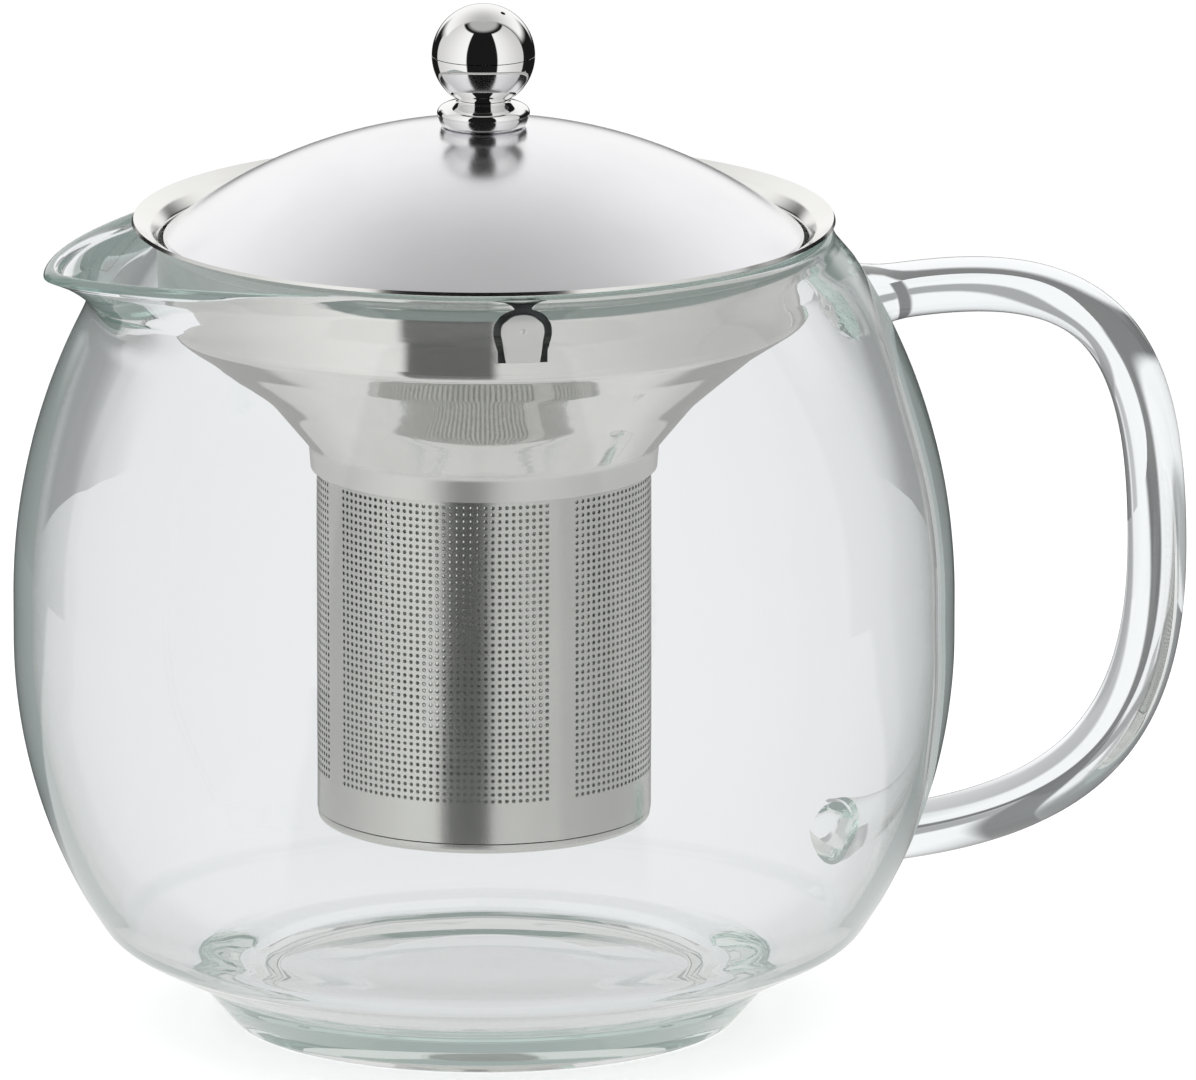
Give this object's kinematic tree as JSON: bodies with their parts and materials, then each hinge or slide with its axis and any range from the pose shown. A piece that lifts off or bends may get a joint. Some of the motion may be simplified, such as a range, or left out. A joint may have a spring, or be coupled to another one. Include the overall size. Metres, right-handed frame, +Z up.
{
  "type": "teapot with infuser",
  "caption": "Round glass teapot with a pouring lip and a loop handle, a lift-out steel infuser with a perforated strainer, and a domed steel lid with a ball knob.",
  "frame": {"origin": "on the surface the pot stands on, under the middle of the whole object's outline (the pot's own axis is at X = -24.45 mm)", "axes": "+Z up along the pot's axis, +X towards the handle, -X towards the pouring lip"},
  "size_m": [0.2014, 0.1522, 0.1671],
  "materials": {
    "clear_glass": "clear polished glass",
    "handle_glass": "clear polished glass",
    "polished_steel": "mirror-polished stainless steel",
    "strainer_steel": "satin perforated stainless steel",
    "satin_steel": "fine satin-polished stainless steel",
    "fastener_steel": "plain stainless steel"
  },
  "bodies": {
    "jug": {"glass_jug": "clear_glass", "glass_handle": "handle_glass"},
    "infuser": {"infuser_funnel": "polished_steel", "strainer_wall": "strainer_steel", "strainer_base": "strainer_steel"},
    "tongue_1": {"clip_tongue_1": "polished_steel"},
    "tongue_2": {"clip_tongue_2": "polished_steel"},
    "tongue_3": {"clip_tongue_3": "polished_steel"},
    "lid": {"lid_dome": "satin_steel", "lid_locating_ring": "satin_steel", "knob_seat_ring": "polished_steel", "knob_foot": "polished_steel", "knob_ball_lower": "polished_steel", "knob_ball_upper": "polished_steel", "knob_stud": "fastener_steel", "knob_washer": "fastener_steel", "knob_nut": "fastener_steel"}
  },
  "joints": [
    {"name": "infuser_lift", "type": "slide", "parent": "jug", "child": "infuser", "axis": [0, 0, 1], "range_m": [0, 0.105]},
    {"name": "lid_lift", "type": "slide", "parent": "infuser", "child": "lid", "axis": [0, 0, 1], "range_m": [0, 0.055]},
    {"name": "tongue_flex_1", "type": "hinge", "parent": "infuser", "child": "tongue_1", "pos_m": [-0.03973, -0.04997, 0.1194], "axis": [-0.9563, 0.2924, 0], "range_deg": [0, 4], "stiffness_Nm_per_rad": 0.02},
    {"name": "tongue_flex_2", "type": "hinge", "parent": "infuser", "child": "tongue_2", "pos_m": [0.02646, 0.01175, 0.1194], "axis": [0.225, -0.9744, 0], "range_deg": [0, 4], "stiffness_Nm_per_rad": 0.02},
    {"name": "tongue_flex_3", "type": "hinge", "parent": "infuser", "child": "tongue_3", "pos_m": [-0.06008, 0.03821, 0.1194], "axis": [0.7314, 0.682, 0], "range_deg": [0, 4], "stiffness_Nm_per_rad": 0.02}
  ]
}
